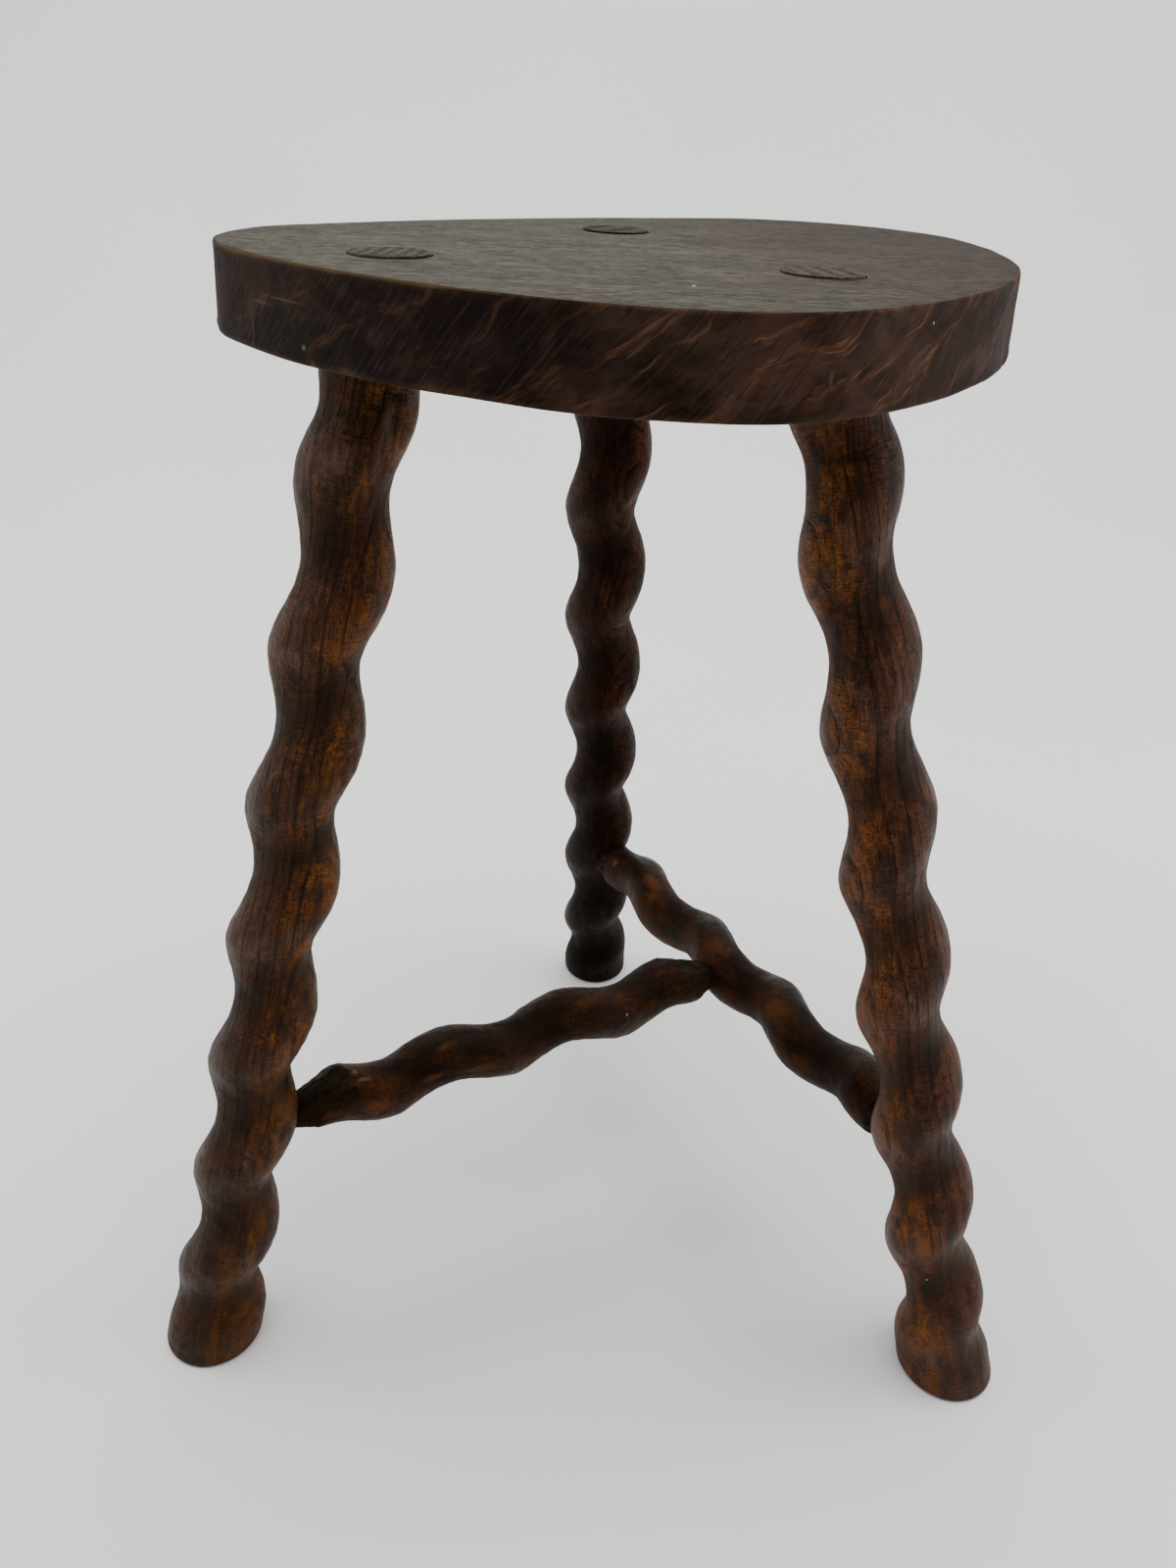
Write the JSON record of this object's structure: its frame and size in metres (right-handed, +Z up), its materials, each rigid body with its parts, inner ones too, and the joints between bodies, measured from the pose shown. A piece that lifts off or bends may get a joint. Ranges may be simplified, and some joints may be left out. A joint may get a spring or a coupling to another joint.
{
  "type": "barley twist stool",
  "caption": "Stool with a thick rounded plank seat on splayed barley twist legs, whose tenons show in the seat top, tied by barley twist stretchers in a T.",
  "frame": {"origin": "on the floor, under the middle of the stool's bounding box", "axes": "+Z up, +X to the right and +Y to the back, seen from the side with two legs in front"},
  "size_m": [0.3753, 0.3292, 0.4508],
  "materials": {
    "seat_wood": "dark stained hardwood, matte and weathered on top, dull wax on the edge",
    "leg_wood": "dark walnut stain over orange brown wood, satin old varnish, worn at the feet",
    "stretcher_wood": "dark stained wood, satin, rubbed orange on the ridges, whittled bare at the ends"
  },
  "bodies": {
    "root": {"seat": "seat_wood", "leg_left": "leg_wood", "leg_right": "leg_wood", "leg_rear": "leg_wood", "cross_stretcher": "stretcher_wood", "stem_stretcher": "stretcher_wood"}
  },
  "joints": []
}
